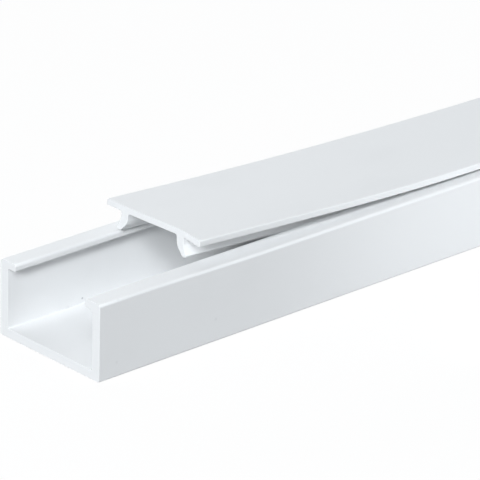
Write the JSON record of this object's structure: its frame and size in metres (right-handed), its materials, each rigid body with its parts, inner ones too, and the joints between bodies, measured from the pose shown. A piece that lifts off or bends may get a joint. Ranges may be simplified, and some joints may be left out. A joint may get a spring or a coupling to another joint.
{
  "type": "cable trunking",
  "caption": "White mini cable trunking: an open channel tray with inward lips and a clip-in lid whose hooked legs grip the lips, the lid slid back and raised at its near end.",
  "frame": {"origin": "middle of the tray's back face, on the surface that the trunking is fixed to", "axes": "+X along the length, away from the end where the lid is raised; +Y to the far wall; +Z out of the back face, towards the lid"},
  "size_m": [1.0179, 0.02, 0.015],
  "materials": {
    "tray_pvc": "satin extruded white PVC",
    "lid_pvc": "satin extruded white PVC"
  },
  "bodies": {
    "tray": {"tray": "tray_pvc"},
    "lid": {"lid": "lid_pvc"}
  },
  "joints": [
    {"name": "lid_slide", "type": "slide", "parent": "tray", "child": "lid", "axis": [1, 0, 0], "range_m": [-0.018, 0.85]}
  ]
}
